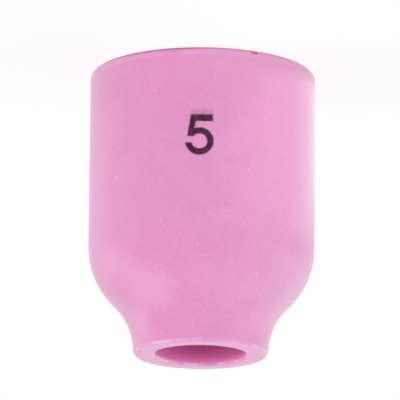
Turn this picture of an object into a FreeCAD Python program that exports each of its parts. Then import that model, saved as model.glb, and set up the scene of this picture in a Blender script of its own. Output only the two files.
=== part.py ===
import FreeCAD, Part
import math
import os
import Sketcher

# The gas cup of a TIG welding torch: one turned ceramic nozzle, open at both ends.
# It stands on its wide threaded rim with its axis up along +Z, and the gas leaves at the top.
# The origin is the centre of the wide rim's face. Lengths are millimetres, angles are degrees.

DRIVING = [
    ("cup_length", 25.4, "wide rim to outlet face"),
    ("body_wall", 2.05, "wall outside the thread's root"),
    ("rim_round", 0.45, "outer edge of the wide rim"),
    ("shoulder_round", 7.2, "convex arc from the straight body into the shoulder"),
    ("neck_round", 5.9, "hollow arc from the shoulder into the neck"),
    ("neck_straight", 0.9, "last stretch of the neck, below the outlet face"),
    ("neck_draft", 5.6, "lean of that stretch towards the axis"),
    ("lip_wall", 1.94, "width of the flat lip round the outlet"),
    ("lip_round", 0.4, "outer edge of the lip"),
    ("outlet_bore", 7.94, "gas outlet, 5/16 inch"),
    ("outlet_round", 0.35, "inner edge of the lip"),
    ("outlet_length", 3.0, "straight part of the outlet bore"),
    ("throat_round", 3.4, "arc from the outlet bore into the dome"),
    ("dome_round", 4.6, "arc from the dome into the chamber wall"),
    ("chamber_step", 0.45, "seat between the threaded bore and the chamber"),
    ("thread_major", 15.88, "root of the inside thread, 5/8 inch"),
    ("thread_pitch", 1.41, "18 turns to the inch"),
    ("thread_depth", 0.5, "root to land, shallow so that the fired crests do not chip"),
    ("thread_root", 0.12, "flat at the root"),
    ("thread_flank", 30.0, "each flank against a plane square to the axis"),
    ("thread_length", 7.2, "wide rim to the relief behind the thread"),
    ("relief_width", 1.6, "relief in which the thread runs out"),
    ("relief_depth", 0.12, "relief outside the thread's root"),
    ("lead_in", 0.25, "mouth of the lead-in outside the thread's root"),
]

doc = FreeCAD.newDocument("gas_cup")


def make_sheet():
    """Put the driving sizes in a spreadsheet, one to a row, with an alias each."""
    table = doc.addObject("Spreadsheet::Sheet", "Sizes")
    for row, (alias, value, note) in enumerate(DRIVING, start=1):
        table.set(f"A{row}", alias)
        table.set(f"B{row}", str(value))
        table.set(f"C{row}", note)
        table.setAlias(f"B{row}", alias)
    doc.recompute()
    return table


sheet = make_sheet()


def size(alias):
    return float(sheet.get(alias))


# Radii that several features share, as expressions on the sheet.
BODY_RADIUS = "Sizes.thread_major / 2 + Sizes.body_wall"
LIP_RADIUS = "Sizes.outlet_bore / 2 + Sizes.lip_wall"
LAND_RADIUS = "Sizes.thread_major / 2 - Sizes.thread_depth"
CHAMBER_RADIUS = LAND_RADIUS + " - Sizes.chamber_step"
SEAT_HEIGHT = "Sizes.thread_length + Sizes.relief_width"

body_radius = size("thread_major") / 2 + size("body_wall")
lip_radius = size("outlet_bore") / 2 + size("lip_wall")
land_radius = size("thread_major") / 2 - size("thread_depth")
chamber_radius = land_radius - size("chamber_step")
seat_height = size("thread_length") + size("relief_width")


def point(x, y):
    return FreeCAD.Vector(x, y, 0)


def section_sketch(body, name):
    """A sketch on the body's own XZ plane, where x is the radius and y the height."""
    planes = [item for item in body.Origin.OriginFeatures if item.Role == "XZ_Plane"]
    sketch = body.newObject("Sketcher::SketchObject", name)
    sketch.AttachmentSupport = (planes[0], [""])
    sketch.MapMode = "FlatFace"
    return sketch


def add_line(sketch, start, end):
    return sketch.addGeometry(Part.LineSegment(point(*start), point(*end)), False)


def add_arc(sketch, centre, radius, start_angle, end_angle):
    """An arc that turns anticlockwise from start_angle to end_angle, in radians."""
    circle = Part.Circle(point(*centre), FreeCAD.Vector(0, 0, 1), radius)
    return sketch.addGeometry(Part.ArcOfCircle(circle, start_angle, end_angle), False)


def bind(sketch, name, expression, *constraint):
    """Add a dimension and tie it to the sheet."""
    index = sketch.addConstraint(Sketcher.Constraint(*constraint))
    sketch.renameConstraint(index, name)
    sketch.setExpression(f"Constraints.{name}", expression)


START, END = 1, 2
ORIGIN_POINT = (-1, 1)
X_AXIS = -1


def draw_wall(sketch):
    """The section of the cup's wall, as one closed outline of lines and tangent arcs.

    The outside climbs the straight body, turns through two tangent arcs and ends in the
    short leaning neck. The inside comes back down through the outlet bore, the dome and
    the chamber to the land of the thread.
    """
    shoulder, neck = size("shoulder_round"), size("neck_round")
    throat, dome = size("throat_round"), size("dome_round")
    draft = math.radians(size("neck_draft"))
    top = size("cup_length")
    outlet_radius = size("outlet_bore") / 2
    lead_radius = size("thread_major") / 2 + size("lead_in")
    lead_height = size("thread_depth") + size("lead_in")

    # Outside: the angle at which the two arcs meet, then their ends and centres.
    neck_start = top - size("neck_straight")
    neck_radius = lip_radius + size("neck_straight") * math.tan(draft)
    fall = body_radius - neck_radius
    turn = math.acos((shoulder + neck * math.cos(draft) - fall) / (shoulder + neck))
    neck_centre = (
        neck_radius + neck * math.cos(draft),
        neck_start + neck * math.sin(draft),
    )
    meet = (
        neck_centre[0] - neck * math.cos(turn),
        neck_centre[1] - neck * math.sin(turn),
    )
    body_top = meet[1] - shoulder * math.sin(turn)

    # Inside: the same construction, from the outlet bore down to the chamber wall.
    outlet_end = top - size("outlet_length")
    rise = chamber_radius - outlet_radius
    inner_turn = math.acos((throat + dome - rise) / (throat + dome))
    inner_meet = (
        outlet_radius + throat - throat * math.cos(inner_turn),
        outlet_end - throat * math.sin(inner_turn),
    )
    chamber_top = inner_meet[1] - dome * math.sin(inner_turn)

    rim = add_line(sketch, (lead_radius, 0), (body_radius, 0))
    side = add_line(sketch, (body_radius, 0), (body_radius, body_top))
    shoulder_arc = add_arc(sketch, (body_radius - shoulder, body_top), shoulder, 0, turn)
    neck_arc = add_arc(sketch, neck_centre, neck, math.pi + draft, math.pi + turn)
    neck_line = add_line(sketch, (neck_radius, neck_start), (lip_radius, top))
    lip = add_line(sketch, (lip_radius, top), (outlet_radius, top))
    outlet = add_line(sketch, (outlet_radius, top), (outlet_radius, outlet_end))
    throat_arc = add_arc(
        sketch,
        (outlet_radius + throat, outlet_end),
        throat,
        math.pi,
        math.pi + inner_turn,
    )
    dome_arc = add_arc(sketch, (chamber_radius - dome, chamber_top), dome, 0, inner_turn)
    chamber = add_line(sketch, (chamber_radius, chamber_top), (chamber_radius, seat_height))
    seat = add_line(sketch, (chamber_radius, seat_height), (land_radius, seat_height))
    land = add_line(sketch, (land_radius, seat_height), (land_radius, lead_height))
    lead = add_line(sketch, (land_radius, lead_height), (lead_radius, 0))

    for line in (rim, lip, seat):
        sketch.addConstraint(Sketcher.Constraint("Horizontal", line))
    for line in (side, outlet, chamber, land):
        sketch.addConstraint(Sketcher.Constraint("Vertical", line))
    corners = [
        (rim, END, side, START),
        (neck_line, END, lip, START),
        (lip, END, outlet, START),
        (chamber, END, seat, START),
        (seat, END, land, START),
        (land, END, lead, START),
        (lead, END, rim, START),
    ]
    for corner in corners:
        sketch.addConstraint(Sketcher.Constraint("Coincident", *corner))
    smooth_joints = [
        (side, END, shoulder_arc, START),
        (shoulder_arc, END, neck_arc, END),
        (neck_arc, START, neck_line, START),
        (outlet, END, throat_arc, START),
        (throat_arc, END, dome_arc, END),
        (dome_arc, START, chamber, START),
    ]
    for joint in smooth_joints:
        sketch.addConstraint(Sketcher.Constraint("Tangent", *joint))
    sketch.addConstraint(Sketcher.Constraint("PointOnObject", rim, START, X_AXIS))

    def radius_to(name, geometry, end, value, expression):
        bind(sketch, name, expression, "DistanceX", *ORIGIN_POINT, geometry, end, value)

    def height_to(name, geometry, end, value, expression):
        bind(sketch, name, expression, "DistanceY", *ORIGIN_POINT, geometry, end, value)

    radius_to("body_radius", rim, END, body_radius, BODY_RADIUS)
    radius_to(
        "lead_radius", rim, START, lead_radius, "Sizes.thread_major / 2 + Sizes.lead_in"
    )
    radius_to("lip_radius", lip, START, lip_radius, LIP_RADIUS)
    radius_to("outlet_radius", lip, END, outlet_radius, "Sizes.outlet_bore / 2")
    radius_to("chamber_radius", seat, START, chamber_radius, CHAMBER_RADIUS)
    radius_to("land_radius", land, END, land_radius, LAND_RADIUS)
    height_to("cup_length", lip, START, top, "Sizes.cup_length")
    height_to("seat_height", seat, END, seat_height, SEAT_HEIGHT)
    height_to(
        "lead_height", land, END, lead_height, "Sizes.thread_depth + Sizes.lead_in"
    )
    height_to(
        "neck_start",
        neck_line,
        START,
        neck_start,
        "Sizes.cup_length - Sizes.neck_straight",
    )
    height_to(
        "outlet_end",
        outlet,
        END,
        outlet_end,
        "Sizes.cup_length - Sizes.outlet_length",
    )
    bind(
        sketch,
        "neck_lean",
        "90 deg + Sizes.neck_draft * 1 deg",
        "Angle",
        neck_line,
        math.pi / 2 + draft,
    )
    bind(sketch, "shoulder", "Sizes.shoulder_round", "Radius", shoulder_arc, shoulder)
    bind(sketch, "neck", "Sizes.neck_round", "Radius", neck_arc, neck)
    bind(sketch, "throat", "Sizes.throat_round", "Radius", throat_arc, throat)
    bind(sketch, "dome", "Sizes.dome_round", "Radius", dome_arc, dome)


def draw_relief(sketch):
    """The groove behind the thread, a rectangle that starts inside the land."""
    inner = land_radius - size("thread_depth")
    outer = size("thread_major") / 2 + size("relief_depth")
    low, high = size("thread_length"), seat_height
    corners = [(inner, low), (outer, low), (outer, high), (inner, high)]
    sides = [
        add_line(sketch, corners[i], corners[(i + 1) % 4]) for i in range(len(corners))
    ]
    for i, side in enumerate(sides):
        following = sides[(i + 1) % len(sides)]
        sketch.addConstraint(
            Sketcher.Constraint("Coincident", side, END, following, START)
        )
        flat = "Horizontal" if i % 2 == 0 else "Vertical"
        sketch.addConstraint(Sketcher.Constraint(flat, side))
    bottom, wall = sides[0], sides[1]
    bind(
        sketch,
        "inner",
        LAND_RADIUS + " - Sizes.thread_depth",
        "DistanceX",
        *ORIGIN_POINT,
        bottom,
        START,
        inner,
    )
    bind(
        sketch,
        "outer",
        "Sizes.thread_major / 2 + Sizes.relief_depth",
        "DistanceX",
        *ORIGIN_POINT,
        bottom,
        END,
        outer,
    )
    bind(
        sketch,
        "low",
        "Sizes.thread_length",
        "DistanceY",
        *ORIGIN_POINT,
        bottom,
        START,
        low,
    )
    bind(sketch, "high", SEAT_HEIGHT, "DistanceY", *ORIGIN_POINT, wall, END, high)


def draw_thread(sketch):
    """The thread's groove one pitch below the rim: a root flat between two flanks.

    The flanks run on past the land by the thread's own depth, into the open bore.
    """
    depth = size("thread_depth")
    root = size("thread_major") / 2
    inner = root - 2 * depth
    half_root = size("thread_root") / 2
    half_open = half_root + 2 * depth * math.tan(math.radians(size("thread_flank")))
    middle = -size("thread_pitch")
    corners = [
        (inner, middle - half_open),
        (root, middle - half_root),
        (root, middle + half_root),
        (inner, middle + half_open),
    ]
    lower, flat, upper, back = [
        add_line(sketch, corners[i], corners[(i + 1) % 4]) for i in range(len(corners))
    ]
    for first, second in ((lower, flat), (flat, upper), (upper, back), (back, lower)):
        sketch.addConstraint(
            Sketcher.Constraint("Coincident", first, END, second, START)
        )
    sketch.addConstraint(Sketcher.Constraint("Vertical", flat))
    sketch.addConstraint(Sketcher.Constraint("Vertical", back))
    half_root_size = "Sizes.thread_root / 2"
    half_open_size = (
        half_root_size + " + 2 * Sizes.thread_depth * tan(Sizes.thread_flank * 1 deg)"
    )

    def drop_to(name, geometry, end, value, expression):
        bind(sketch, name, expression, "DistanceY", geometry, end, *ORIGIN_POINT, value)

    bind(
        sketch,
        "root",
        "Sizes.thread_major / 2",
        "DistanceX",
        *ORIGIN_POINT,
        flat,
        START,
        root,
    )
    bind(
        sketch,
        "inner",
        "Sizes.thread_major / 2 - 2 * Sizes.thread_depth",
        "DistanceX",
        *ORIGIN_POINT,
        back,
        END,
        inner,
    )
    drop_to(
        "root_low",
        flat,
        START,
        half_root - middle,
        "Sizes.thread_pitch + " + half_root_size,
    )
    drop_to(
        "root_high",
        flat,
        END,
        -half_root - middle,
        "Sizes.thread_pitch - " + half_root_size,
    )
    drop_to(
        "open_low",
        back,
        END,
        half_open - middle,
        "Sizes.thread_pitch + (" + half_open_size + ")",
    )
    drop_to(
        "open_high",
        back,
        START,
        -half_open - middle,
        "Sizes.thread_pitch - (" + half_open_size + ")",
    )


def circle_at(shape, radius, height):
    """The name of the round edge with this radius at this height."""
    for index, edge in enumerate(shape.Edges, start=1):
        if not isinstance(edge.Curve, Part.Circle):
            continue
        level = edge.Curve.Center.z
        if abs(edge.Curve.Radius - radius) < 0.001 and abs(level - height) < 0.001:
            return f"Edge{index}"
    raise ValueError(f"no round edge of radius {radius} at height {height}")


def round_edge(body, base, name, radius, height, alias):
    feature = body.newObject("PartDesign::Fillet", name)
    feature.Base = (base, [circle_at(base.Shape, radius, height)])
    feature.setExpression("Radius", f"Sizes.{alias}")
    doc.recompute()
    return feature


def make_gas_cup():
    """Turn the wall, cut the relief, round the three open edges and cut the thread."""
    body = doc.addObject("PartDesign::Body", "gas_cup")
    body.Label = "gas_cup"
    doc.recompute()

    wall_sketch = section_sketch(body, "wall_section")
    draw_wall(wall_sketch)
    wall = body.newObject("PartDesign::Revolution", "turned_wall")
    wall.Profile = wall_sketch
    wall.ReferenceAxis = (wall_sketch, ["V_Axis"])
    wall.Angle = 360
    doc.recompute()

    relief_sketch = section_sketch(body, "relief_section")
    draw_relief(relief_sketch)
    relief = body.newObject("PartDesign::Groove", "thread_relief")
    relief.Profile = relief_sketch
    relief.ReferenceAxis = (relief_sketch, ["V_Axis"])
    relief.Angle = 360
    doc.recompute()

    top = size("cup_length")
    rim = round_edge(body, relief, "rim_edge", body_radius, 0, "rim_round")
    lip = round_edge(body, rim, "lip_edge", lip_radius, top, "lip_round")
    outlet = round_edge(
        body, lip, "outlet_edge", size("outlet_bore") / 2, top, "outlet_round"
    )

    thread_sketch = section_sketch(body, "thread_section")
    draw_thread(thread_sketch)
    thread = body.newObject("PartDesign::SubtractiveHelix", "inside_thread")
    thread.Profile = thread_sketch
    thread.ReferenceAxis = (thread_sketch, ["V_Axis"])
    thread.Mode = "pitch-height-angle"
    thread.LeftHanded = False
    thread.setExpression("Pitch", "Sizes.thread_pitch")
    thread.setExpression(
        "Height",
        "Sizes.thread_length + Sizes.relief_width / 2 + Sizes.thread_pitch",
    )
    doc.recompute()
    print("volume before the thread", round(outlet.Shape.Volume, 2))
    print("volume with the thread", round(thread.Shape.Volume, 2))
    return body


def check(parts):
    """Stop if any feature failed, a sketch is loose or a part's shape isn't sound."""
    for item in doc.Objects:
        bad = [state for state in item.State if state in ("Invalid", "Error")]
        if bad:
            raise RuntimeError(f"{item.Name} is {bad}")
        if item.isDerivedFrom("Sketcher::SketchObject") and not item.FullyConstrained:
            raise RuntimeError(f"{item.Name} is not fully constrained")
    for part in parts:
        if part.Shape.isNull() or not part.Shape.isValid():
            raise RuntimeError(f"{part.Label} has no valid shape")


parts = [make_gas_cup()]
doc.recompute()
check(parts)
os.makedirs("parts", exist_ok=True)
for part in parts:
    part.Shape.exportStep(f"parts/{part.Label}.step")
    box = part.Shape.BoundBox
    print(part.Label, "solids", len(part.Shape.Solids), "faces", len(part.Shape.Faces))
    print("size", round(box.XLength, 3), round(box.YLength, 3), round(box.ZLength, 3))
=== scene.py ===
import math
import random

import bmesh
import bpy
from mathutils import Matrix, Quaternion, Vector, noise


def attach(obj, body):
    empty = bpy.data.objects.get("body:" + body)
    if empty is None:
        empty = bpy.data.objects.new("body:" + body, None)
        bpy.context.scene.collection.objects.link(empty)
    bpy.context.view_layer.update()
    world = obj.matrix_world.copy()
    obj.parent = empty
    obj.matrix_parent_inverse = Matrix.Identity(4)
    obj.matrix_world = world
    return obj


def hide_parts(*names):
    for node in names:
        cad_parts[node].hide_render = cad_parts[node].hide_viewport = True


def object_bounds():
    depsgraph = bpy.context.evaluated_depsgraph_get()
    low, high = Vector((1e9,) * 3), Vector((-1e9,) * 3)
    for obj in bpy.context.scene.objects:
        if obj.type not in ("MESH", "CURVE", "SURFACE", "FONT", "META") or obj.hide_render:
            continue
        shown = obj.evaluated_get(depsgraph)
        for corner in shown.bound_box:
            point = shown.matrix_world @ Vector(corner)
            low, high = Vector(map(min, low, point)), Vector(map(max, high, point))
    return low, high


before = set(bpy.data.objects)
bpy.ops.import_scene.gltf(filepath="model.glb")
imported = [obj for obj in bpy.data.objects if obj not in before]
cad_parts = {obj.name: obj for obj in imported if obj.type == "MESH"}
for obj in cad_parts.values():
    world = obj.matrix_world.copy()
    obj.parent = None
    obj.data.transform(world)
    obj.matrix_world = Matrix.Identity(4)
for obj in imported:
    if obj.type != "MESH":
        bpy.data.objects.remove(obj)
cadLow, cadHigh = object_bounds()
mm = 0.001
print("frame loaded")


# helpers for meshes


def addObject(name, bm):
    mesh = bpy.data.meshes.new(name)
    bm.to_mesh(mesh)
    bm.free()
    thing = bpy.data.objects.new(name, mesh)
    bpy.context.scene.collection.objects.link(thing)
    return thing


def startLine(bm, x, z):
    return bm.verts.new((x, 0, z))


def lineTo(bm, vert, x, z, steps=1):
    # extrudes the last point of an outline in equal steps
    start = vert.co.copy()
    goal = Vector((x, 0, z))
    for step in range(1, steps + 1):
        vert = bmesh.ops.extrude_vert_indiv(bm, verts=[vert])["verts"][0]
        vert.co = start.lerp(goal, step / steps)
    return vert


def arcTo(bm, vert, centre, degrees, steps):
    # spins the last point of an outline round a centre; positive turns from +X towards +Z
    made = bmesh.ops.spin(
        bm,
        geom=[vert],
        cent=(centre[0], 0, centre[1]),
        axis=(0, -1, 0),
        angle=math.radians(degrees),
        steps=steps,
    )
    return made["geom_last"][0]


def roundCorners(bm, offset, segments, sharperThan=165):
    corners = [vert for vert in bm.verts if bendOf(vert) < math.radians(sharperThan)]
    bmesh.ops.bevel(
        bm,
        geom=corners,
        offset=offset,
        offset_type="OFFSET",
        segments=segments,
        profile=0.5,
        affect="VERTICES",
        clamp_overlap=True,
        material=-1,
    )


def bendOf(vert):
    if len(vert.link_edges) != 2:
        return math.pi
    first, second = (edge.other_vert(vert).co - vert.co for edge in vert.link_edges)
    return first.angle(second)


def cutAt(bm, point, normal, clear=False):
    bmesh.ops.bisect_plane(
        bm,
        geom=bm.verts[:] + bm.edges[:] + bm.faces[:],
        dist=0.0001 * mm,
        plane_co=point,
        plane_no=normal,
        clear_outer=clear,
    )


def aimAt(thing, target, roll=0.0):
    look = Vector(target) - thing.location
    turn = Quaternion((0, 0, 1), math.radians(roll))
    thing.rotation_mode = "QUATERNION"
    thing.rotation_quaternion = look.to_track_quat("-Z", "Y") @ turn


# camera

cameraSetup = {
    "aim": (0.168 * mm, 0.0, 11.323 * mm),
    "distance": 466.6 * mm,
    "elevation": 14.15,  # degrees above the table
    "roll": 180.51,  # the picture is upside down and leans by half a degree
    "lens": 475.0,
}


def makeCamera(setup):
    data = bpy.data.cameras.new("camera")
    data.lens = setup["lens"]
    camera = bpy.data.objects.new("camera", data)
    bpy.context.scene.collection.objects.link(camera)
    rise = math.radians(setup["elevation"])
    back = Vector((0, -math.cos(rise), math.sin(rise)))
    camera.location = Vector(setup["aim"]) + back * setup["distance"]
    aimAt(camera, setup["aim"], setup["roll"])
    bpy.context.scene.camera = camera


makeCamera(cameraSetup)
print("camera placed")


# the fired cup

cup = {
    "skin": 0.015 * mm,  # the body lies this far inside the frame's box, and the figure stands on it
    "turns": 240,  # faces round the cup
    "rimRound": 0.45 * mm,
    "shoulderRound": 7.2 * mm,
    "neckRound": 5.9 * mm,
    "neckStraight": 0.9 * mm,
    "neckDraft": 5.6,  # degrees
    "lipWall": 1.94 * mm,
    "lipRound": 0.4 * mm,
    "outletRadius": 3.97 * mm,
    "outletRound": 0.35 * mm,
    "outletLength": 3.0 * mm,
    "throatRound": 3.4 * mm,
    "domeRound": 4.6 * mm,
    "chamberRadius": 6.99 * mm,
    "seatHeight": 8.8 * mm,
    "reliefRadius": 8.06 * mm,
    "threadTop": 7.2 * mm,
    "threadRoot": 7.94 * mm,
    "threadDepth": 0.5 * mm,
    "threadPitch": 1.41 * mm,
    "threadFlank": 30.0,  # degrees
    "threadRootFlat": 0.12 * mm,
    "threadEdge": 0.09 * mm,  # how far the fired crests are rounded off
    "leadRadius": 8.19 * mm,
    "unevenness": 0.016 * mm,  # how far the lip's edges wander
    "unevenDepth": 1.2 * mm,  # how far down from the lip that reaches
    "broadWaves": 0.9,  # to a millimetre
    "fineWaves": 2.6,
    "fineShare": 0.5,  # how strong the fine waves are beside the broad ones
    "hardEdge": 32.0,  # degrees, past which an edge stays sharp in the shading
    "weld": 0.0005 * mm,
}

# chips in the rim's outer edge: degrees from the front towards +X, then half width, half height
# and depth
rimChips = [
    (-26.8, 0.32 * mm, 0.25 * mm, 0.18 * mm),
    (-32.5, 0.20 * mm, 0.14 * mm, 0.05 * mm),
    (-37.0, 0.34 * mm, 0.16 * mm, 0.06 * mm),
    (-43.5, 0.22 * mm, 0.13 * mm, 0.05 * mm),
    (-49.0, 0.30 * mm, 0.18 * mm, 0.07 * mm),
    (-57.0, 0.26 * mm, 0.16 * mm, 0.06 * mm),
    (-64.0, 0.20 * mm, 0.14 * mm, 0.05 * mm),
    (-71.0, 0.30 * mm, 0.16 * mm, 0.06 * mm),
]
# the same kind of wear on the far side
moreChips = {
    "count": 12,
    "seed": 5,
    "turn": (100, 320),
    "halfWidth": (0.15 * mm, 0.35 * mm),
    "halfHeight": (0.12 * mm, 0.18 * mm),
    "depth": (0.04 * mm, 0.07 * mm),
}
chipShape = {
    "inset": 0.3,  # a chip's middle lies this share of the rim's round in from the body and up
    "margin": 0.3 * mm,  # the finer faces reach this far past a chip
    "up": 1.5,  # and this many of the rim's rounds up
    "cuts": 3,
    "lift": 0.6,  # a chip goes this far up for each step inwards
    "rough": 0.5,
    "roughWaves": 9,  # to a millimetre
}


def makeShell(bm, size):
    # the outline from the flat rim up the outside, over the lip and down to the thread's relief
    bodyRadius = cadHigh.x - size["skin"]
    top = cadHigh.z
    rim = size["rimRound"]
    shoulder, neck = size["shoulderRound"], size["neckRound"]
    draft = math.radians(size["neckDraft"])
    outletRadius, outletRound = size["outletRadius"], size["outletRound"]
    lipRadius = outletRadius + size["lipWall"]
    lip = size["lipRound"]
    throat, dome = size["throatRound"], size["domeRound"]

    neckEnd = top - size["neckStraight"]
    neckRadius = lipRadius + size["neckStraight"] * math.tan(draft)
    fall = bodyRadius - neckRadius
    turn = math.acos((shoulder + neck * math.cos(draft) - fall) / (shoulder + neck))
    meetHeight = neckEnd + neck * (math.sin(draft) - math.sin(turn))
    bodyTop = meetHeight - shoulder * math.sin(turn)
    neckCentre = (neckRadius + neck * math.cos(draft), neckEnd + neck * math.sin(draft))
    rise = size["chamberRadius"] - outletRadius
    innerTurn = math.acos((throat + dome - rise) / (throat + dome))
    outletEnd = top - size["outletLength"]
    chamberTop = outletEnd - (throat + dome) * math.sin(innerTurn)

    vert = startLine(bm, size["leadRadius"] + rim, 0)
    vert = lineTo(bm, vert, bodyRadius - rim, 0, steps=2)
    vert = arcTo(bm, vert, (bodyRadius - rim, rim), 90, steps=8)
    vert = lineTo(bm, vert, bodyRadius, bodyTop, steps=24)
    vert = arcTo(bm, vert, (bodyRadius - shoulder, bodyTop), math.degrees(turn), steps=18)
    vert = arcTo(bm, vert, neckCentre, math.degrees(draft - turn), steps=18)
    # the lip's round starts where the leaning neck touches it
    reach = lip * math.tan((math.pi / 2 - draft) / 2)
    lipCentre = Vector((lipRadius - reach, top - lip))
    touch = lipCentre + lip * Vector((math.cos(draft), math.sin(draft)))
    vert = lineTo(bm, vert, touch.x, touch.y, steps=4)
    vert = arcTo(bm, vert, lipCentre, 90 - size["neckDraft"], steps=8)
    vert = lineTo(bm, vert, outletRadius + outletRound, top, steps=6)
    edgeCentre = (outletRadius + outletRound, top - outletRound)
    vert = arcTo(bm, vert, edgeCentre, 90, steps=6)
    vert = lineTo(bm, vert, outletRadius, outletEnd, steps=6)
    throatCentre = (outletRadius + throat, outletEnd)
    vert = arcTo(bm, vert, throatCentre, math.degrees(innerTurn), steps=10)
    domeCentre = (size["chamberRadius"] - dome, chamberTop)
    vert = arcTo(bm, vert, domeCentre, -math.degrees(innerTurn), steps=12)
    vert = lineTo(bm, vert, size["chamberRadius"], size["seatHeight"], steps=10)
    vert = lineTo(bm, vert, size["reliefRadius"], size["seatHeight"], steps=2)
    lineTo(bm, vert, size["reliefRadius"], size["threadTop"], steps=2)
    bmesh.ops.spin(
        bm,
        geom=bm.verts[:] + bm.edges[:],
        cent=(0, 0, 0),
        axis=(0, 0, 1),
        angle=2 * math.pi,
        steps=size["turns"],
        use_merge=True,
    )


def makeThread(bm, size):
    # one pitch of the groove's outline climbs round the axis once, and copies of that turn are stacked
    pitch, root, depth = size["threadPitch"], size["threadRoot"], size["threadDepth"]
    rootHalf = size["threadRootFlat"] / 2
    openHalf = rootHalf + depth * math.tan(math.radians(size["threadFlank"]))
    below = 2  # turns that start under the rim, to be cut off
    middle = -below * pitch  # the groove's middle, which then lies in the rim's plane on the +X side
    start = middle - pitch / 2
    thread = bmesh.new()
    vert = startLine(thread, root - depth, start)
    vert = lineTo(thread, vert, root - depth, middle - openHalf, steps=2)
    vert = lineTo(thread, vert, root, middle - rootHalf, steps=2)
    vert = lineTo(thread, vert, root, middle + rootHalf)
    vert = lineTo(thread, vert, root - depth, middle + openHalf, steps=2)
    lineTo(thread, vert, root - depth, start + pitch, steps=2)
    roundCorners(thread, size["threadEdge"], segments=3)
    bmesh.ops.spin(
        thread,
        geom=thread.verts[:] + thread.edges[:],
        cent=(0, 0, 0),
        axis=(0, 0, 1),
        dvec=(0, 0, pitch / size["turns"]),
        angle=2 * math.pi,
        steps=size["turns"],
    )
    oneTurn = thread.verts[:] + thread.edges[:] + thread.faces[:]
    for turn in range(1, math.ceil(size["threadTop"] / pitch) + below):
        copied = bmesh.ops.duplicate(thread, geom=oneTurn)["geom"]
        lifted = [part for part in copied if isinstance(part, bmesh.types.BMVert)]
        bmesh.ops.translate(thread, vec=(0, 0, turn * pitch), verts=lifted)
    bmesh.ops.remove_doubles(thread, verts=thread.verts, dist=size["weld"])
    cutAt(thread, (0, 0, 0), (0, 0, -1), clear=True)
    cutAt(thread, (0, 0, size["threadTop"]), (0, 0, 1), clear=True)
    for vert in thread.verts:
        # the lead-in cone opens the first turns towards the rim
        flat = vert.co.xy
        cone = size["leadRadius"] - vert.co.z
        if flat.length < cone:
            vert.co.xy = flat * (cone / flat.length)
    mesh = bpy.data.meshes.new("thread")
    thread.to_mesh(mesh)
    thread.free()
    bm.from_mesh(mesh)
    bpy.data.meshes.remove(mesh)


def closeGap(bm, height, between):
    # zips the thread's open end to the shell's open ring round it, in one plane
    rings = ([], [])
    for vert in bm.verts:
        if vert.is_boundary and abs(vert.co.z - height) < 0.001 * mm:
            outside = vert.co.xy.length > between
            rings[outside].append((math.atan2(vert.co.y, vert.co.x), vert))
    steps = []
    for side, ring in enumerate(rings):
        ring.sort(key=lambda pair: pair[0])
        turn, first = ring[0]
        steps += [(turn, side, vert) for turn, vert in ring[1:]]
        steps.append((turn + 2 * math.pi, side, first))
    latest = [ring[0][1] for ring in rings]
    for turn, side, vert in sorted(steps, key=lambda step: step[0]):
        bm.faces.new((*latest, vert))
        latest[side] = vert


def chipRim(bm, size, shape, chips):
    # small chips along the rim's outer edge, in finer faces than the rest
    rim = size["rimRound"]
    inset = shape["inset"] * rim
    edgeRadius = cadHigh.x - size["skin"] - inset

    def onRim(place):
        return place.z < shape["up"] * rim and place.xy.length > edgeRadius - rim

    middles = []
    for degrees, *extent in chips:
        turn = math.radians(degrees)
        outward = Vector((math.sin(turn), -math.cos(turn), 0))
        along = Vector((math.cos(turn), math.sin(turn), 0))
        middles.append((outward, along, *extent))
    near = []
    for edge in bm.edges:
        spot = (edge.verts[0].co + edge.verts[1].co) / 2
        if onRim(spot) and any(
            spot.dot(outward) > 0 and abs(spot.dot(along)) < halfWidth + shape["margin"]
            for outward, along, halfWidth, *rest in middles
        ):
            near.append(edge)
    bmesh.ops.subdivide_edges(bm, edges=near, cuts=shape["cuts"], use_grid_fill=True)
    for vert in bm.verts:
        if not onRim(vert.co):
            continue
        for outward, along, halfWidth, halfHeight, depth in middles:
            if vert.co.dot(outward) < 0:
                continue
            away = math.hypot(vert.co.xy.length - edgeRadius, vert.co.z - inset) / halfHeight
            side = vert.co.dot(along) / halfWidth
            reach = away * away + side * side
            if reach < 1:
                rough = 1 + shape["rough"] * noise.noise(vert.co * shape["roughWaves"] / mm)
                inwards = Vector((0, 0, shape["lift"])) - outward
                vert.co += inwards * depth * (1 - reach) * rough


def wearLip(bm, size):
    # pressed and fired edges are never quite even
    for vert in bm.verts:
        depth = cadHigh.z - vert.co.z
        if depth < size["unevenDepth"]:
            flat = vert.co.xy
            share = (1 - depth / size["unevenDepth"]) ** 2
            wander = noise.noise(vert.co * size["broadWaves"] / mm)
            wander += size["fineShare"] * noise.noise(vert.co * size["fineWaves"] / mm)
            vert.co.xy = flat * (1 + size["unevenness"] * share * wander / flat.length)
            vert.co.z -= abs(wander) * share * size["unevenness"]


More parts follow.
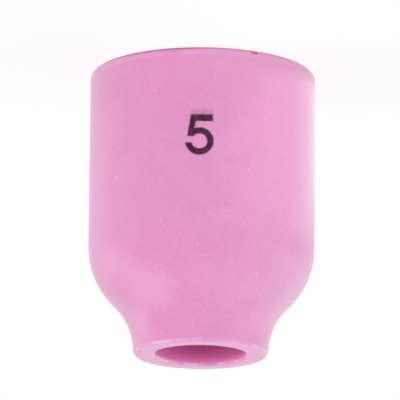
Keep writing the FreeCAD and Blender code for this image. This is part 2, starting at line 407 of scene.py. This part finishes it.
def makeCup(size):
    bm = bmesh.new()
    makeShell(bm, size)
    wearLip(bm, size)
    draw = random.Random(moreChips["seed"])
    farChips = [
        tuple(draw.uniform(*moreChips[part]) for part in ("turn", "halfWidth", "halfHeight", "depth"))
        for chip in range(moreChips["count"])
    ]
    chipRim(bm, size, chipShape, rimChips + farChips)
    makeThread(bm, size)
    closeGap(bm, 0.0, size["leadRadius"] + size["rimRound"] / 2)
    closeGap(bm, size["threadTop"], (size["threadRoot"] + size["reliefRadius"]) / 2)
    bmesh.ops.remove_doubles(bm, verts=bm.verts, dist=size["weld"])
    bmesh.ops.recalc_face_normals(bm, faces=bm.faces)
    for vert in bm.verts:
        vert.co.z = min(max(vert.co.z, cadLow.z), cadHigh.z)
    for face in bm.faces:
        face.smooth = True
    for edge in bm.edges:
        if len(edge.link_faces) == 2 and edge.calc_face_angle() > math.radians(size["hardEdge"]):
            edge.smooth = False
    opened = [edge for edge in bm.edges if not edge.is_manifold]
    triangles = sum(len(face.verts) - 2 for face in bm.faces)
    print("cup", triangles, "triangles,", len(opened), "open edges")
    piece = addObject("fired_cup", bm)
    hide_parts("gas_cup")
    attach(piece, "root")
    return piece


firedCup = makeCup(cup)
print("cup made")


# the figure on the side, drawn as it is read and then turned over with the cup

figure = {
    "place": (0.31 * mm, 7.96 * mm),  # its middle, sideways and up the cup
    "barLeft": -0.69 * mm,
    "barRight": 1.19 * mm,
    "barTop": 1.79 * mm,
    "barFoot": 1.22 * mm,
    "stemInner": -0.275 * mm,  # where the stem's inner edge leaves the bar
    "stemLean": 0.208,  # sideways for each step down
    "stemFoot": (-1.02 * mm, -0.10 * mm),
    "bowlMiddle": (0.04 * mm, -0.59 * mm),
    "bowlOuter": 1.215 * mm,
    "bowlInner": 0.69 * mm,
    "bowlOpens": 144.0,  # degrees, where the inner edge meets the stem
    "tailDrop": 0.14 * mm,  # the tail's end below the bowl's middle
    "corner": 0.11 * mm,
    "slice": 0.12 * mm,
    "slices": 16,  # to each side of the middle
    "wobble": 0.026 * mm,  # how far the edges wander
    "seed": 5,  # without one they wander differently at each run
    "broadWaves": 3.1,  # to a millimetre
    "fineWaves": 7.3,
    "fineShare": 0.5,
    "search": 0.005 * mm,  # the step that finds where stem and bowl meet
    "proud": 0.013 * mm,
    "sunk": 0.03 * mm,
    "shrink": -0.006 * mm,  # the full ink stops this far inside the figure's outline
    "bleed": 0.07 * mm,  # and thin ink runs this far past it
    "bleedProud": 0.006 * mm,
}


def makeFigure(name, size, grow, proud):
    centre = Vector(size["bowlMiddle"])
    outer, inner = size["bowlOuter"] + grow, size["bowlInner"] - grow
    barFoot = size["barFoot"] - grow
    stemInner = size["stemInner"] + grow
    tailDrop = size["tailDrop"] - grow
    # the stem's inner edge runs down until it meets the bowl's outer edge
    hitY = barFoot
    while True:
        hitX = stemInner - (barFoot - hitY) * size["stemLean"]
        if (Vector((hitX, hitY)) - centre).length <= outer:
            break
        hitY -= size["search"]
    outerFrom = math.degrees(math.atan2(hitY - centre.y, hitX - centre.x))
    outerTo = -180 + math.degrees(math.asin(tailDrop / outer))
    innerFrom = 180 + math.degrees(math.asin(tailDrop / inner))
    innerStart = centre + inner * Vector(
        (math.cos(math.radians(innerFrom)), math.sin(math.radians(innerFrom)))
    )

    bm = bmesh.new()
    first = startLine(bm, size["barLeft"] - grow, size["barTop"] + grow)
    vert = lineTo(bm, first, size["barRight"] + grow, size["barTop"] + grow)
    vert = lineTo(bm, vert, size["barRight"] + grow, barFoot)
    vert = lineTo(bm, vert, stemInner, barFoot)
    vert = lineTo(bm, vert, hitX, hitY)
    vert = arcTo(bm, vert, centre, outerTo - outerFrom, steps=60)
    vert = lineTo(bm, vert, innerStart.x, innerStart.y)
    vert = arcTo(bm, vert, centre, 360 + size["bowlOpens"] - innerFrom, steps=50)
    footX, footY = size["stemFoot"]
    vert = lineTo(bm, vert, footX - grow, footY - grow)
    bm.edges.new((vert, first))
    roundCorners(bm, size["corner"] + grow, segments=3, sharperThan=140)
    bmesh.ops.contextual_create(bm, geom=bm.edges[:])
    for way in (Vector((1, 0, 0)), Vector((0, 0, 1))):
        for step in range(-size["slices"], size["slices"] + 1):
            cutAt(bm, way * step * size["slice"], way)
    noise.seed_set(size["seed"])
    for vert in bm.verts:
        # fired ink has slightly uneven edges
        shift = noise.noise_vector(vert.co * size["broadWaves"] / mm)
        shift += size["fineShare"] * noise.noise_vector(vert.co * size["fineWaves"] / mm)
        vert.co += Vector((shift.x, 0, shift.z)) * size["wobble"]
    thick = bmesh.ops.extrude_face_region(bm, geom=bm.faces[:])["geom"]
    lifted = [part for part in thick if isinstance(part, bmesh.types.BMVert)]
    bmesh.ops.translate(bm, vec=(0, proud + size["sunk"], 0), verts=lifted)
    bmesh.ops.rotate(bm, verts=bm.verts, cent=(0, 0, 0), matrix=Matrix.Rotation(math.pi, 3, "Y"))
    bmesh.ops.translate(bm, verts=bm.verts, vec=(size["place"][0], 0, size["place"][1]))
    bodyRadius = cadHigh.x - cup["skin"]
    for vert in bm.verts:
        # wraps the flat figure round the body
        turn = vert.co.x / bodyRadius
        radius = bodyRadius + proud - vert.co.y
        vert.co = Vector((radius * math.sin(turn), -radius * math.cos(turn), vert.co.z))
    bmesh.ops.recalc_face_normals(bm, faces=bm.faces)
    opened = [edge for edge in bm.edges if not edge.is_manifold]
    print(name, len(bm.faces), "faces,", len(opened), "open edges")
    piece = addObject(name, bm)
    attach(piece, "root")
    return piece


sizeFigure = makeFigure("size_figure", figure, figure["shrink"], figure["proud"])
figureBleed = makeFigure("figure_bleed", figure, figure["bleed"], figure["bleedProud"])
print("figure made")


# helpers for materials


def feed(tree, socket, value):
    # an output is linked to the socket, and anything else is set on it
    if isinstance(value, bpy.types.NodeSocket):
        tree.links.new(value, socket)
    else:
        socket.default_value = value


def calculate(tree, operation, *values):
    node = tree.nodes.new("ShaderNodeMath")
    node.operation = operation
    for socket, value in zip(node.inputs, values):
        feed(tree, socket, value)
    return node.outputs[0]


def product(tree, first, *others):
    for value in others:
        first = calculate(tree, "MULTIPLY", first, value)
    return first


def remap(tree, value, fromLow, fromHigh, toLow=0.0, toHigh=1.0):
    node = tree.nodes.new("ShaderNodeMapRange")
    node.interpolation_type = "SMOOTHSTEP"
    for name, part in (
        ("Value", value),
        ("From Min", fromLow),
        ("From Max", fromHigh),
        ("To Min", toLow),
        ("To Max", toHigh),
    ):
        feed(tree, node.inputs[name], part)
    return node.outputs[0]


def mixColours(tree, share, first, second):
    # a mix node has sockets for every kind of value: 6, 7 and 2 are the ones for colours
    node = tree.nodes.new("ShaderNodeMix")
    node.data_type = "RGBA"
    feed(tree, node.inputs[0], share)
    feed(tree, node.inputs[6], first)
    feed(tree, node.inputs[7], second)
    return node.outputs[2]


def noiseOf(tree, place, scale, detail):
    node = tree.nodes.new("ShaderNodeTexNoise")
    feed(tree, node.inputs["Vector"], place)
    feed(tree, node.inputs["Scale"], scale)
    node.inputs["Detail"].default_value = detail
    return node.outputs["Fac"]


def placeInMm(tree):
    # the object's own coordinates, in millimetres
    coordinates = tree.nodes.new("ShaderNodeTexCoord")
    return stretched(tree, coordinates.outputs["Object"], (1 / mm,) * 3)


def stretched(tree, place, scale):
    mapping = tree.nodes.new("ShaderNodeMapping")
    mapping.inputs["Scale"].default_value = scale
    tree.links.new(place, mapping.inputs["Vector"])
    return mapping.outputs["Vector"]


def addBump(tree, shader, height, strength, distance):
    bump = tree.nodes.new("ShaderNodeBump")
    bump.inputs["Strength"].default_value = strength
    bump.inputs["Distance"].default_value = distance
    tree.links.new(height, bump.inputs["Height"])
    tree.links.new(bump.outputs["Normal"], shader.inputs["Normal"])


def newGroup(name, inputs, outputs):
    group = bpy.data.node_groups.new(name, "ShaderNodeTree")
    for title, kind in inputs:
        group.interface.new_socket(title, in_out="INPUT", socket_type="NodeSocket" + kind)
    for title in outputs:
        group.interface.new_socket(title, in_out="OUTPUT", socket_type="NodeSocketFloat")
    return group, group.nodes.new("NodeGroupInput").outputs, group.nodes.new("NodeGroupOutput").inputs


def useGroup(tree, group, **values):
    node = tree.nodes.new("ShaderNodeGroup")
    node.node_tree = group
    for name, value in values.items():
        feed(tree, node.inputs[name], value)
    return node.outputs


def makeGrain():
    # the fired powder's grain: soft blotches and a fine tooth, each with its own size and strength
    group, given, out = newGroup(
        "firedGrain",
        (
            ("Place", "Vector"),
            ("Blotch", "Float"),
            ("BlotchShare", "Float"),
            ("Tooth", "Float"),
            ("ToothShare", "Float"),
        ),
        ("Shade", "Height"),
    )
    broad = noiseOf(group, given["Place"], calculate(group, "DIVIDE", 1.0, given["Blotch"]), detail=1)
    fine = noiseOf(group, given["Place"], calculate(group, "DIVIDE", 1.0, given["Tooth"]), detail=2)
    blotches = product(group, calculate(group, "SUBTRACT", broad, 0.5), given["BlotchShare"])
    grainy = product(group, calculate(group, "SUBTRACT", fine, 0.5), given["ToothShare"])
    shade = calculate(group, "ADD", calculate(group, "ADD", blotches, grainy), 0.5)
    group.links.new(remap(group, shade, 0, 1), out["Shade"])
    group.links.new(fine, out["Height"])
    return group


speckShape = {
    "smallest": 0.4,  # the smallest speck, as a share of the size
    "core": 0.3,  # a speck is full up to this share of its radius
}


def makeSpecks(shape):
    # scattered specks: some cells of a spacing hold one, each with its own size
    group, given, out = newGroup(
        "firedSpecks",
        (("Place", "Vector"), ("Spacing", "Float"), ("Size", "Float"), ("Share", "Float")),
        ("Mask",),
    )
    cells = group.nodes.new("ShaderNodeTexVoronoi")
    group.links.new(given["Place"], cells.inputs["Vector"])
    feed(group, cells.inputs["Scale"], calculate(group, "DIVIDE", 1.0, given["Spacing"]))
    parts = group.nodes.new("ShaderNodeSeparateColor")
    group.links.new(cells.outputs["Color"], parts.inputs["Color"])
    away = product(group, cells.outputs["Distance"], given["Spacing"])
    grown = remap(group, parts.outputs["Green"], 0, 1, shape["smallest"], 1)
    radius = product(group, given["Size"], grown)
    spot = remap(group, away, radius, product(group, radius, shape["core"]))
    chosen = calculate(group, "LESS_THAN", parts.outputs["Red"], given["Share"])
    group.links.new(product(group, spot, chosen), out["Mask"])
    return group


grainGroup = makeGrain()
specksGroup = makeSpecks(speckShape)


# pink alumina

alumina = {
    "pink": (0.785, 0.281, 0.565, 1),
    "deepPink": (0.75, 0.258, 0.53, 1),
    "palePink": (0.815, 0.304, 0.597, 1),
    "speckWhite": (0.96, 0.39, 0.70, 1),
    "speckDark": (0.58, 0.13, 0.33, 1),
    "paleMark": (0.97, 0.44, 0.74, 1),
    # pale arrises, partly wear and partly painted highlight
    "wornAndHighlight": (0.90, 0.56, 0.76, 1),
    "boreRed": (0.96, 0.255, 0.60, 1),
    "boreDeep": (0.78, 0.18, 0.44, 1),
    "lipBackLightRed": (0.74, 0.21, 0.50, 1),
    # painted light near the end that the cup stands on
    "baseLightPale": (0.90, 0.42, 0.69, 1),
    # the painted contact shadow along the rim's lowest edge
    "contactShadowRed": (0.42, 0.06, 0.20, 1),
    # painted shade in the deepest chip
    "chipShade": (0.03, 0.008, 0.015, 1),
    "smear": (0.26, 0.07, 0.16, 1),
    "roughLow": 0.30,
    "roughHigh": 0.40,
    "ior": 1.7,
    "sheen": 0.3,
    "sheenRoughness": 0.5,
    "blotch": 2.4,  # millimetres, like the sizes below
    "blotchShare": 0.75,
    "tooth": 0.26,
    "toothShare": 1.1,
    "speckSpacing": 0.42,
    "speckSize": 0.095,
    "speckHeights": (6, 20),  # the specks get closer together from the lower to the upper
    "speckShares": (0.35, 0.8),  # and there they fill these shares of the cells
    "darkShift": (3.3, 7.1, 1.7),  # keeps the dark specks off the pale ones
    "paleSpecks": 0.85,  # how strongly each kind of speck and mark shows
    "darkSpecks": 0.45,
    "paleMarks": 0.75,
    "darkMarks": 0.45,
    "streaks": (1.9, 1.9, 0.12),  # to a millimetre, so that they run up the cup
    "streakFrom": 0.35,
    "streakTo": 0.7,
    "streakShare": 0.35,
    "bump": 0.25,
    "bumpDepth": 0.02 * mm,
    "toothRelief": 0.5,
}


# marks that stand out from the specks: degrees from the front towards +X, height and reach
paleMarks = [
    (6.0, 5.25 * mm, 0.13 * mm),  # just past the figure's bar
    (25.0, 3.8 * mm, 0.12 * mm),
    (-24.0, 10.9 * mm, 0.14 * mm),
    (48.5, 11.0 * mm, 0.16 * mm),
    (-4.0, 15.0 * mm, 0.15 * mm),
    (9.0, 17.3 * mm, 0.13 * mm),
    (2.0, 17.7 * mm, 0.15 * mm),
    (-18.0, 19.3 * mm, 0.12 * mm),
    (-33.0, 19.7 * mm, 0.16 * mm),
    (38.0, 19.9 * mm, 0.13 * mm),
    (13.0, 22.3 * mm, 0.12 * mm),
    (35.0, 24.5 * mm, 0.14 * mm),
]
darkMarks = [
    (17.5, 8.5 * mm, 0.11 * mm),
    (-12.0, 14.1 * mm, 0.13 * mm),
    (-15.5, 16.1 * mm, 0.13 * mm),
    (36.5, 17.9 * mm, 0.14 * mm),
    (0.0, 21.5 * mm, 0.11 * mm),
]
# the deepest chip is painted dark from end to end as the shade in it, and a pale spot lies beside it
chipShadow = [
    (rimChips[0][0] + 0.5, 0.17 * mm, 0.29 * mm),
    (rimChips[0][0] - 0.4, 0.18 * mm, 0.29 * mm),
]
chipSpot = [(rimChips[0][0] - 0.6, 0.46 * mm, 0.13 * mm)]


# where each change of colour lies, in millimetres: a pair says where it starts and where it is full
outletTint = {
    "away": (0.38, 0.08),  # from the bore's wall
    "down": (0.02, 0.36),  # from the lip
}
deepTint = {
    "down": (0.3, 0.8),
    "sideways": (0.5, -2.5),
    "share": 0.8,
}
# where the painted back light round the bore's edge lies
lipBackLightReach = {
    "away": (0.6, 0.3),
    "back": (-1, 2.5),
}
# where the painted light near the end that the cup stands on lies
baseLightReach = {
    "up": (4.5, 1.0),
    "share": 0.3,
    "sideways": (5, -5),
    "least": 0.25,  # what is left of it on the +X side
}
# where the painted contact shadow along the rim's lowest edge lies
contactShadowReach = {
    "away": (9.3, 9.5),
    "up": (0.29, 0.17),
    "sideways": (-2.5, 2),
    "shares": (0.12, 0.9),
}
# pale arrises: partly rubbed wear and partly painted highlight
rubbedAndHighlit = {
    "boreEdge": (0.12, 0.08, 0.17),  # out from the bore, down from the lip, and reach
    "lipEdge": (0.10, 0.13, 0.22),  # in from the lip's side, down from the lip, and reach
    "rimEdge": (0.55, 0.30),  # height and reach
    "waves": 0.9,
    "breaks": (0.42, 0.62, 0.12, 0.7),  # from these levels of the noise to these shares
    "rimWaves": 0.35,
    "rimBreaks": (0.35, 0.65, 0.06, 0.26),
    "core": 0.3,
}
smear = {
    "side": 0.1,
    "far": (0.76, 0.06),  # down from the bar's top line
    "near": (0, 0.08),
    "waves": 1.5,
    "patches": (0.35, 0.65, 0.24, 0.5),
}


def makeAlumina(look):
    material = bpy.data.materials.new("pinkAlumina")
    material.use_nodes = True
    tree = material.node_tree
    shader = tree.nodes["Principled BSDF"]
    at = surfacePlace(tree)
    place = at["place"]
    grain = useGroup(
        tree,
        grainGroup,
        Place=place,
        Blotch=look["blotch"],
        BlotchShare=look["blotchShare"],
        Tooth=look["tooth"],
        ToothShare=look["toothShare"],
    )
    share = remap(tree, at["z"], *look["speckHeights"], *look["speckShares"])
    specks = {"Spacing": look["speckSpacing"], "Size": look["speckSize"], "Share": share}
    pale = useGroup(tree, specksGroup, Place=place, **specks)["Mask"]
    shifted = tree.nodes.new("ShaderNodeMapping")
    shifted.inputs["Location"].default_value = look["darkShift"]
    tree.links.new(place, shifted.inputs["Vector"])
    dark = useGroup(tree, specksGroup, Place=shifted.outputs["Vector"], **specks)["Mask"]
    streaks = noiseOf(tree, stretched(tree, place, look["streaks"]), 1.0, detail=3)
    streaks = remap(tree, streaks, look["streakFrom"], look["streakTo"], 0, look["streakShare"])
    inside = mixColours(tree, deepInBore(tree, at), look["boreRed"], look["boreDeep"])

    colour = mixColours(tree, grain["Shade"], look["deepPink"], look["palePink"])
    for mask, over in (
        (streaks, look["pink"]),
        (paintedLipBackLight(tree, at), look["lipBackLightRed"]),
        (insideOutlet(tree, at), inside),
        (paintedBaseLight(tree, at), look["baseLightPale"]),
        (paintedContactShadow(tree, at), look["contactShadowRed"]),
        (wornAndHighlitEdges(tree, at), look["wornAndHighlight"]),
        (product(tree, pale, look["paleSpecks"]), look["speckWhite"]),
        (product(tree, dark, look["darkSpecks"]), look["speckDark"]),
        (inkSmear(tree, at), look["smear"]),
        (marksAt(tree, place, chipShadow, 1.0, core=0.6), look["chipShade"]),
        (marksAt(tree, place, paleMarks + chipSpot, look["paleMarks"]), look["paleMark"]),
        (marksAt(tree, place, darkMarks, look["darkMarks"]), look["speckDark"]),
    ):
        colour = mixColours(tree, mask, colour, over)
    tree.links.new(colour, shader.inputs["Base Color"])
    rough = remap(tree, grain["Shade"], 0, 1, look["roughLow"], look["roughHigh"])
    tree.links.new(rough, shader.inputs["Roughness"])
    shader.inputs["IOR"].default_value = look["ior"]
    shader.inputs["Sheen Weight"].default_value = look["sheen"]
    shader.inputs["Sheen Roughness"].default_value = look["sheenRoughness"]
    relief = calculate(tree, "ADD", product(tree, grain["Height"], look["toothRelief"]), pale)
    addBump(tree, shader, calculate(tree, "SUBTRACT", relief, dark), look["bump"], look["bumpDepth"])
    return material


def surfacePlace(tree):
    # where a point lies, in millimetres: its coordinates, how far it is away from the cup's axis,
    # and its place in the cup's cross section
    place = placeInMm(tree)
    parts = tree.nodes.new("ShaderNodeSeparateXYZ")
    tree.links.new(place, parts.inputs["Vector"])
    flat = stretched(tree, place, (1, 1, 0))
    away = tree.nodes.new("ShaderNodeVectorMath")
    away.operation = "LENGTH"
    tree.links.new(flat, away.inputs[0])
    section = tree.nodes.new("ShaderNodeCombineXYZ")
    tree.links.new(away.outputs["Value"], section.inputs["X"])
    tree.links.new(parts.outputs["Z"], section.inputs["Z"])
    return {
        "place": place,
        "x": parts.outputs["X"],
        "y": parts.outputs["Y"],
        "z": parts.outputs["Z"],
        "away": away.outputs["Value"],
        "section": section.outputs["Vector"],
    }


def nearPoint(tree, place, point, reach, core):
    # 1 close to a point, and 0 past the reach
    away = tree.nodes.new("ShaderNodeVectorMath")
    away.operation = "DISTANCE"
    tree.links.new(place, away.inputs[0])
    away.inputs[1].default_value = point
    return remap(tree, away.outputs["Value"], reach, core * reach)


def fromBore(tree, at, distances):
    bore = cup["outletRadius"] / mm
    return remap(tree, at["away"], *(bore + distance for distance in distances))


def fromLip(tree, at, distances):
    top = cadHigh.z / mm
    return remap(tree, at["z"], *(top - distance for distance in distances))


def insideOutlet(tree, at):
    # light that the bore throws back and forth, and that passes through its wall, leaves it redder
    return product(tree, fromBore(tree, at, outletTint["away"]), fromLip(tree, at, outletTint["down"]))


def deepInBore(tree, at):
    # less of that light is left deep in the bore, on its -X side
    side = remap(tree, at["x"], *deepTint["sideways"], 0, deepTint["share"])
    return product(tree, fromLip(tree, at, deepTint["down"]), side)


def paintedLipBackLight(tree, at):
    # painted light: at the back, the redder light that passes through the wall reaches out round the
    # bore's edge
    return product(tree, fromBore(tree, at, lipBackLightReach["away"]), remap(tree, at["y"], *lipBackLightReach["back"]))


def paintedBaseLight(tree, at):
    # painted light: the end that the cup stands on is made paler, as if lit by the white table beside
    # it, mostly on the -X side
    low = remap(tree, at["z"], *baseLightReach["up"], 0, baseLightReach["share"])
    return product(tree, low, remap(tree, at["x"], *baseLightReach["sideways"], baseLightReach["least"], 1))


def paintedContactShadow(tree, at):
    # painted contact shadow: the rim's lowest edge is darkened where it meets the table, most of all
    # on the +X side
    outside = remap(tree, at["away"], *contactShadowReach["away"])
    low = remap(tree, at["z"], *contactShadowReach["up"])
    share = remap(tree, at["x"], *contactShadowReach["sideways"], *contactShadowReach["shares"])
    return product(tree, outside, low, share)


def wornAndHighlitEdges(tree, at):
    # the arrises of lip, bore and rim are made pale in broken lines: partly rubbed wear and partly
    # painted highlight, and along the rim painted light from the table
    top = cadHigh.z / mm
    bore, lip = cup["outletRadius"] / mm, (cup["outletRadius"] + cup["lipWall"]) / mm
    body = (cadHigh.x - cup["skin"]) / mm
    out, down, reach = rubbedAndHighlit["boreEdge"]
    boreEdge = nearPoint(tree, at["section"], (bore + out, 0, top - down), reach, rubbedAndHighlit["core"])
    inwards, down, reach = rubbedAndHighlit["lipEdge"]
    lipEdge = nearPoint(tree, at["section"], (lip - inwards, 0, top - down), reach, rubbedAndHighlit["core"])
    height, reach = rubbedAndHighlit["rimEdge"]
    rimEdge = nearPoint(tree, at["section"], (body, 0, height), reach, rubbedAndHighlit["core"])
    waves = noiseOf(tree, at["place"], rubbedAndHighlit["waves"], detail=4)
    broken = remap(tree, waves, *rubbedAndHighlit["breaks"])
    waves = noiseOf(tree, at["place"], rubbedAndHighlit["rimWaves"], detail=3)
    brokenRim = remap(tree, waves, *rubbedAndHighlit["rimBreaks"])
    upper = product(tree, calculate(tree, "MAXIMUM", boreEdge, lipEdge), broken)
    return calculate(tree, "MAXIMUM", upper, product(tree, rimEdge, brokenRim))


def onCup(degrees, height):
    # a point on the cup's outside, in millimetres
    band = 0.35 * mm  # holds a row of the mesh at any height
    near = (vert.co for vert in firedCup.data.vertices if abs(vert.co.z - height) < band)
    radius = max(place.xy.length for place in near)
    turn = math.radians(degrees)
    return Vector((radius * math.sin(turn), -radius * math.cos(turn), height)) / mm


def marksAt(tree, place, marks, strength, core=0.1):
    mask = 0.0
    for degrees, height, reach in marks:
        spot = nearPoint(tree, place, onCup(degrees, height), reach / mm, core)
        mask = calculate(tree, "MAXIMUM", mask, spot)
    return product(tree, mask, strength)


def inkSmear(tree, at):
    # a faint second touch of the stamp, just past the figure's bar
    side = smear["side"]
    left = (figure["place"][0] - figure["barRight"]) / mm
    right = (figure["place"][0] - figure["barLeft"]) / mm
    bar = (figure["place"][1] - figure["barTop"]) / mm
    patchy = noiseOf(tree, at["place"], smear["waves"], detail=2)
    return product(
        tree,
        remap(tree, at["x"], left - side, left + side),
        remap(tree, at["x"], right + side, right - side),
        remap(tree, at["z"], *(bar - distance for distance in smear["far"])),
        remap(tree, at["z"], *(bar - distance for distance in smear["near"])),
        calculate(tree, "LESS_THAN", at["y"], 0.0),
        remap(tree, patchy, *smear["patches"]),
    )


# fired ink

ink = {
    "dark": (0.026, 0.004, 0.010, 1),
    "brown": (0.095, 0.024, 0.060, 1),
    "thin": (0.24, 0.06, 0.16, 1),
    "roughness": 0.62,
    "roughnessSpread": 0.06,
    "specular": 0.25,
    "blotch": 0.45,  # millimetres, like the sizes below
    "blotchShare": 2.0,
    "tooth": 0.1,
    "toothShare": 1.2,
    "holeSpacing": 0.3,
    "holeSize": 0.07,
    "holeCells": 0.3,  # the share of the cells with a thin spot
    "holeShare": 0.35,  # how thin the ink is there
    "bump": 0.25,
    "bumpDepth": 0.01 * mm,
    "bleedWaves": 2.5,
    "bleedPatches": (0.35, 0.65, 0.1, 0.38),  # from these levels of the noise to these shares
}


def makeInk(look):
    material = bpy.data.materials.new("firedInk")
    material.use_nodes = True
    tree = material.node_tree
    shader = tree.nodes["Principled BSDF"]
    place = placeInMm(tree)
    grain = useGroup(
        tree,
        grainGroup,
        Place=place,
        Blotch=look["blotch"],
        BlotchShare=look["blotchShare"],
        Tooth=look["tooth"],
        ToothShare=look["toothShare"],
    )
    holes = useGroup(
        tree,
        specksGroup,
        Place=place,
        Spacing=look["holeSpacing"],
        Size=look["holeSize"],
        Share=look["holeCells"],
    )["Mask"]
    colour = mixColours(tree, grain["Shade"], look["dark"], look["brown"])
    colour = mixColours(tree, product(tree, holes, look["holeShare"]), colour, look["thin"])
    tree.links.new(colour, shader.inputs["Base Color"])
    spread = look["roughnessSpread"]
    rough = remap(tree, grain["Shade"], 0, 1, look["roughness"] - spread, look["roughness"] + spread)
    tree.links.new(rough, shader.inputs["Roughness"])
    shader.inputs["Specular IOR Level"].default_value = look["specular"]
    addBump(tree, shader, grain["Height"], look["bump"], look["bumpDepth"])
    return material


def makeBleed(look):
    # thin ink round the figure, patchy enough to leave its edge soft
    material = bpy.data.materials.new("inkBleed")
    material.use_nodes = True
    tree = material.node_tree
    shader = tree.nodes["Principled BSDF"]
    shader.inputs["Base Color"].default_value = look["brown"]
    shader.inputs["Roughness"].default_value = look["roughness"]
    shader.inputs["Specular IOR Level"].default_value = look["specular"]
    patchy = noiseOf(tree, placeInMm(tree), look["bleedWaves"], detail=2)
    tree.links.new(remap(tree, patchy, *look["bleedPatches"]), shader.inputs["Alpha"])
    return material


firedCup.data.materials.append(makeAlumina(alumina))
sizeFigure.data.materials.append(makeInk(ink))
figureBleed.data.materials.append(makeBleed(ink))
print("materials made")


# table, light and background

studio = {
    "tableHalf": 3.0,
    "tableGap": 0.004 * mm,
    "tableColour": 0.90,  # what lights the cup from below
    "tableSeen": 0.15,  # what the camera sees shaded
    "tableGlow": 0.87,  # and what it sees unshaded, so that the table is white
    "dome": 0.15,
    "lampAway": 0.75,
}

# each lamp: degrees from the front towards +X, degrees above the table, width, height and light.
# Light is the lamp's part of the level at which a colour renders as it is written.
# The soft lamps don't show in the gloss, so that none draws a bright patch there.
softLamps = {
    "frontLamp": (4, 5, 0.7, 0.16, 0.46),
    "leftLamp": (90, 50, 0.4, 0.4, 0.50),
    "rightLamp": (-90, 50, 0.4, 0.4, 0.19),
    "backLamp": (-150, 35, 0.4, 0.4, 0.22),
}
# these light the cup and show in its gloss
panels = {
    "leftEdgeLamp": (112, 12, 0.3, 0.3, 0.05),
    "rightPanel": (-76, 12, 1.0, 0.5, 0.20),
    "backPanel": (-128, 28, 0.8, 0.8, 0.19),
}
# this one shows in the gloss alone
glossPanels = {
    "highPanel": (-45, 48, 0.9, 0.9, 0.20),
}
# and so does a low one that lies beside the cup and faces up, for the sheen along its -X side
lowPanel = {
    "middle": (-41 * mm, -15 * mm, 0.5 * mm),
    "wide": 60 * mm,
    "deep": 110 * mm,
    "brightness": 0.9,  # 1 is white
}


def seenDirectly(tree):
    # 1 for what the camera sees, straight or in gloss or glass
    path = tree.nodes.new("ShaderNodeLightPath")
    seen = calculate(tree, "MAXIMUM", path.outputs["Is Camera Ray"], path.outputs["Is Glossy Ray"])
    return calculate(tree, "MAXIMUM", seen, path.outputs["Is Transmission Ray"])


def makeTable(setup):
    bm = bmesh.new()
    bmesh.ops.create_grid(bm, x_segments=1, y_segments=1, size=setup["tableHalf"])
    bmesh.ops.translate(bm, verts=bm.verts, vec=(0, 0, -setup["tableGap"]))
    table = addObject("table", bm)
    material = bpy.data.materials.new("whiteTable")
    material.use_nodes = True
    tree = material.node_tree
    shader = tree.nodes["Principled BSDF"]
    seen = seenDirectly(tree)
    tone = remap(tree, seen, 0, 1, setup["tableColour"], setup["tableSeen"])
    tree.links.new(tone, shader.inputs["Base Color"])
    glow = remap(tree, seen, 0, 1, 0, setup["tableGlow"])
    tree.links.new(glow, shader.inputs["Emission Strength"])
    shader.inputs["Emission Color"].default_value = (1, 1, 1, 1)
    shader.inputs["Roughness"].default_value = 1.0
    shader.inputs["Specular IOR Level"].default_value = 0.0
    # seen from below, the table gives way to the cup's threaded end
    clear = tree.nodes.new("ShaderNodeBsdfTransparent")
    side = tree.nodes.new("ShaderNodeNewGeometry")
    either = tree.nodes.new("ShaderNodeMixShader")
    tree.links.new(side.outputs["Backfacing"], either.inputs["Fac"])
    tree.links.new(shader.outputs["BSDF"], either.inputs[1])
    tree.links.new(clear.outputs["BSDF"], either.inputs[2])
    tree.links.new(either.outputs["Shader"], tree.nodes["Material Output"].inputs["Surface"])
    table.data.materials.append(material)


def addAreaLamp(name, wide, high, energy):
    data = bpy.data.lights.new(name, "AREA")
    data.shape = "RECTANGLE"
    data.size = wide
    data.size_y = high
    data.energy = energy
    lamp = bpy.data.objects.new(name, data)
    bpy.context.scene.collection.objects.link(lamp)
    return lamp


def makeLamp(name, turn, rise, wide, high, light, glossy=True, diffuse=True):
    away = studio["lampAway"]
    lamp = addAreaLamp(name, wide, high, light * (math.pi * away) ** 2)
    middle = Vector((0, 0, cadHigh.z / 2))
    turn, rise = math.radians(turn), math.radians(rise)
    flat = math.cos(rise)
    outward = Vector((math.sin(turn) * flat, -math.cos(turn) * flat, math.sin(rise)))
    lamp.location = middle + outward * away
    aimAt(lamp, middle)
    lamp.visible_glossy = glossy
    lamp.visible_diffuse = diffuse


def makeLowPanel(setup):
    energy = setup["brightness"] * math.pi * setup["wide"] * setup["deep"]
    panel = addAreaLamp("lowPanel", setup["wide"], setup["deep"], energy)
    panel.location = setup["middle"]
    panel.rotation_euler = (math.pi, 0, 0)
    panel.visible_camera = False
    panel.visible_diffuse = False


def makeWorld(setup):
    world = bpy.data.worlds.new("studio")
    world.use_nodes = True
    tree = world.node_tree
    background = tree.nodes["Background"]
    background.inputs["Color"].default_value = (1, 1, 1, 1)
    strength = remap(tree, seenDirectly(tree), 0, 1, setup["dome"], 1.0)
    tree.links.new(strength, background.inputs["Strength"])
    bpy.context.scene.world = world


makeTable(studio)
for lampName, values in softLamps.items():
    makeLamp(lampName, *values, glossy=False)
for lampName, values in panels.items():
    makeLamp(lampName, *values)
for lampName, values in glossPanels.items():
    makeLamp(lampName, *values, diffuse=False)
makeLowPanel(lowPanel)
makeWorld(studio)
bpy.context.scene.view_settings.view_transform = "Standard"
print("light set")
